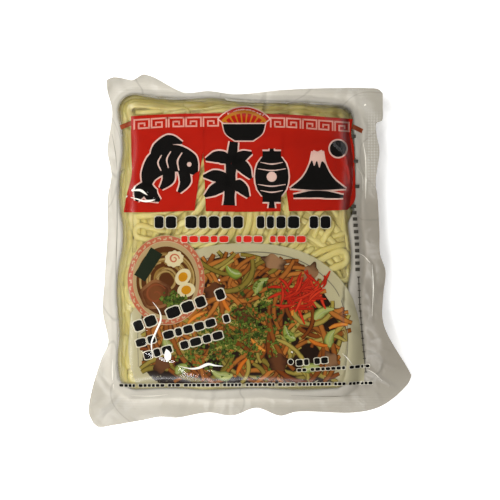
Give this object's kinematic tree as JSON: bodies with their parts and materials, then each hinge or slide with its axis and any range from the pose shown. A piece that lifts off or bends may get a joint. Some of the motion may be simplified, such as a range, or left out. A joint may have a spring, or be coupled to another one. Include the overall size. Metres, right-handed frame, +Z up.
{
  "type": "sealed pouch of cooked yakisoba noodles",
  "caption": "Flat sealed clear pouch holding a cake of cooked wheat noodles, with a printed front, wavy welded margins and a tear notch, lying on its back.",
  "frame": {"origin": "under the middle of the pouch, on the surface that it lies on", "axes": "+X across the pouch to the right of its print, +Y along it towards its top seal, +Z up out of its printed front"},
  "size_m": [0.1614, 0.1764, 0.018],
  "materials": {
    "cooked_noodle": "moist pale yellow wheat noodle under film",
    "clear_film": "clear glossy plastic film, slightly hazy where welded",
    "film_print": "gloss ink printed on the back of the front film"
  },
  "bodies": {
    "root": {"noodle_pouch": "cooked_noodle"}
  },
  "joints": []
}
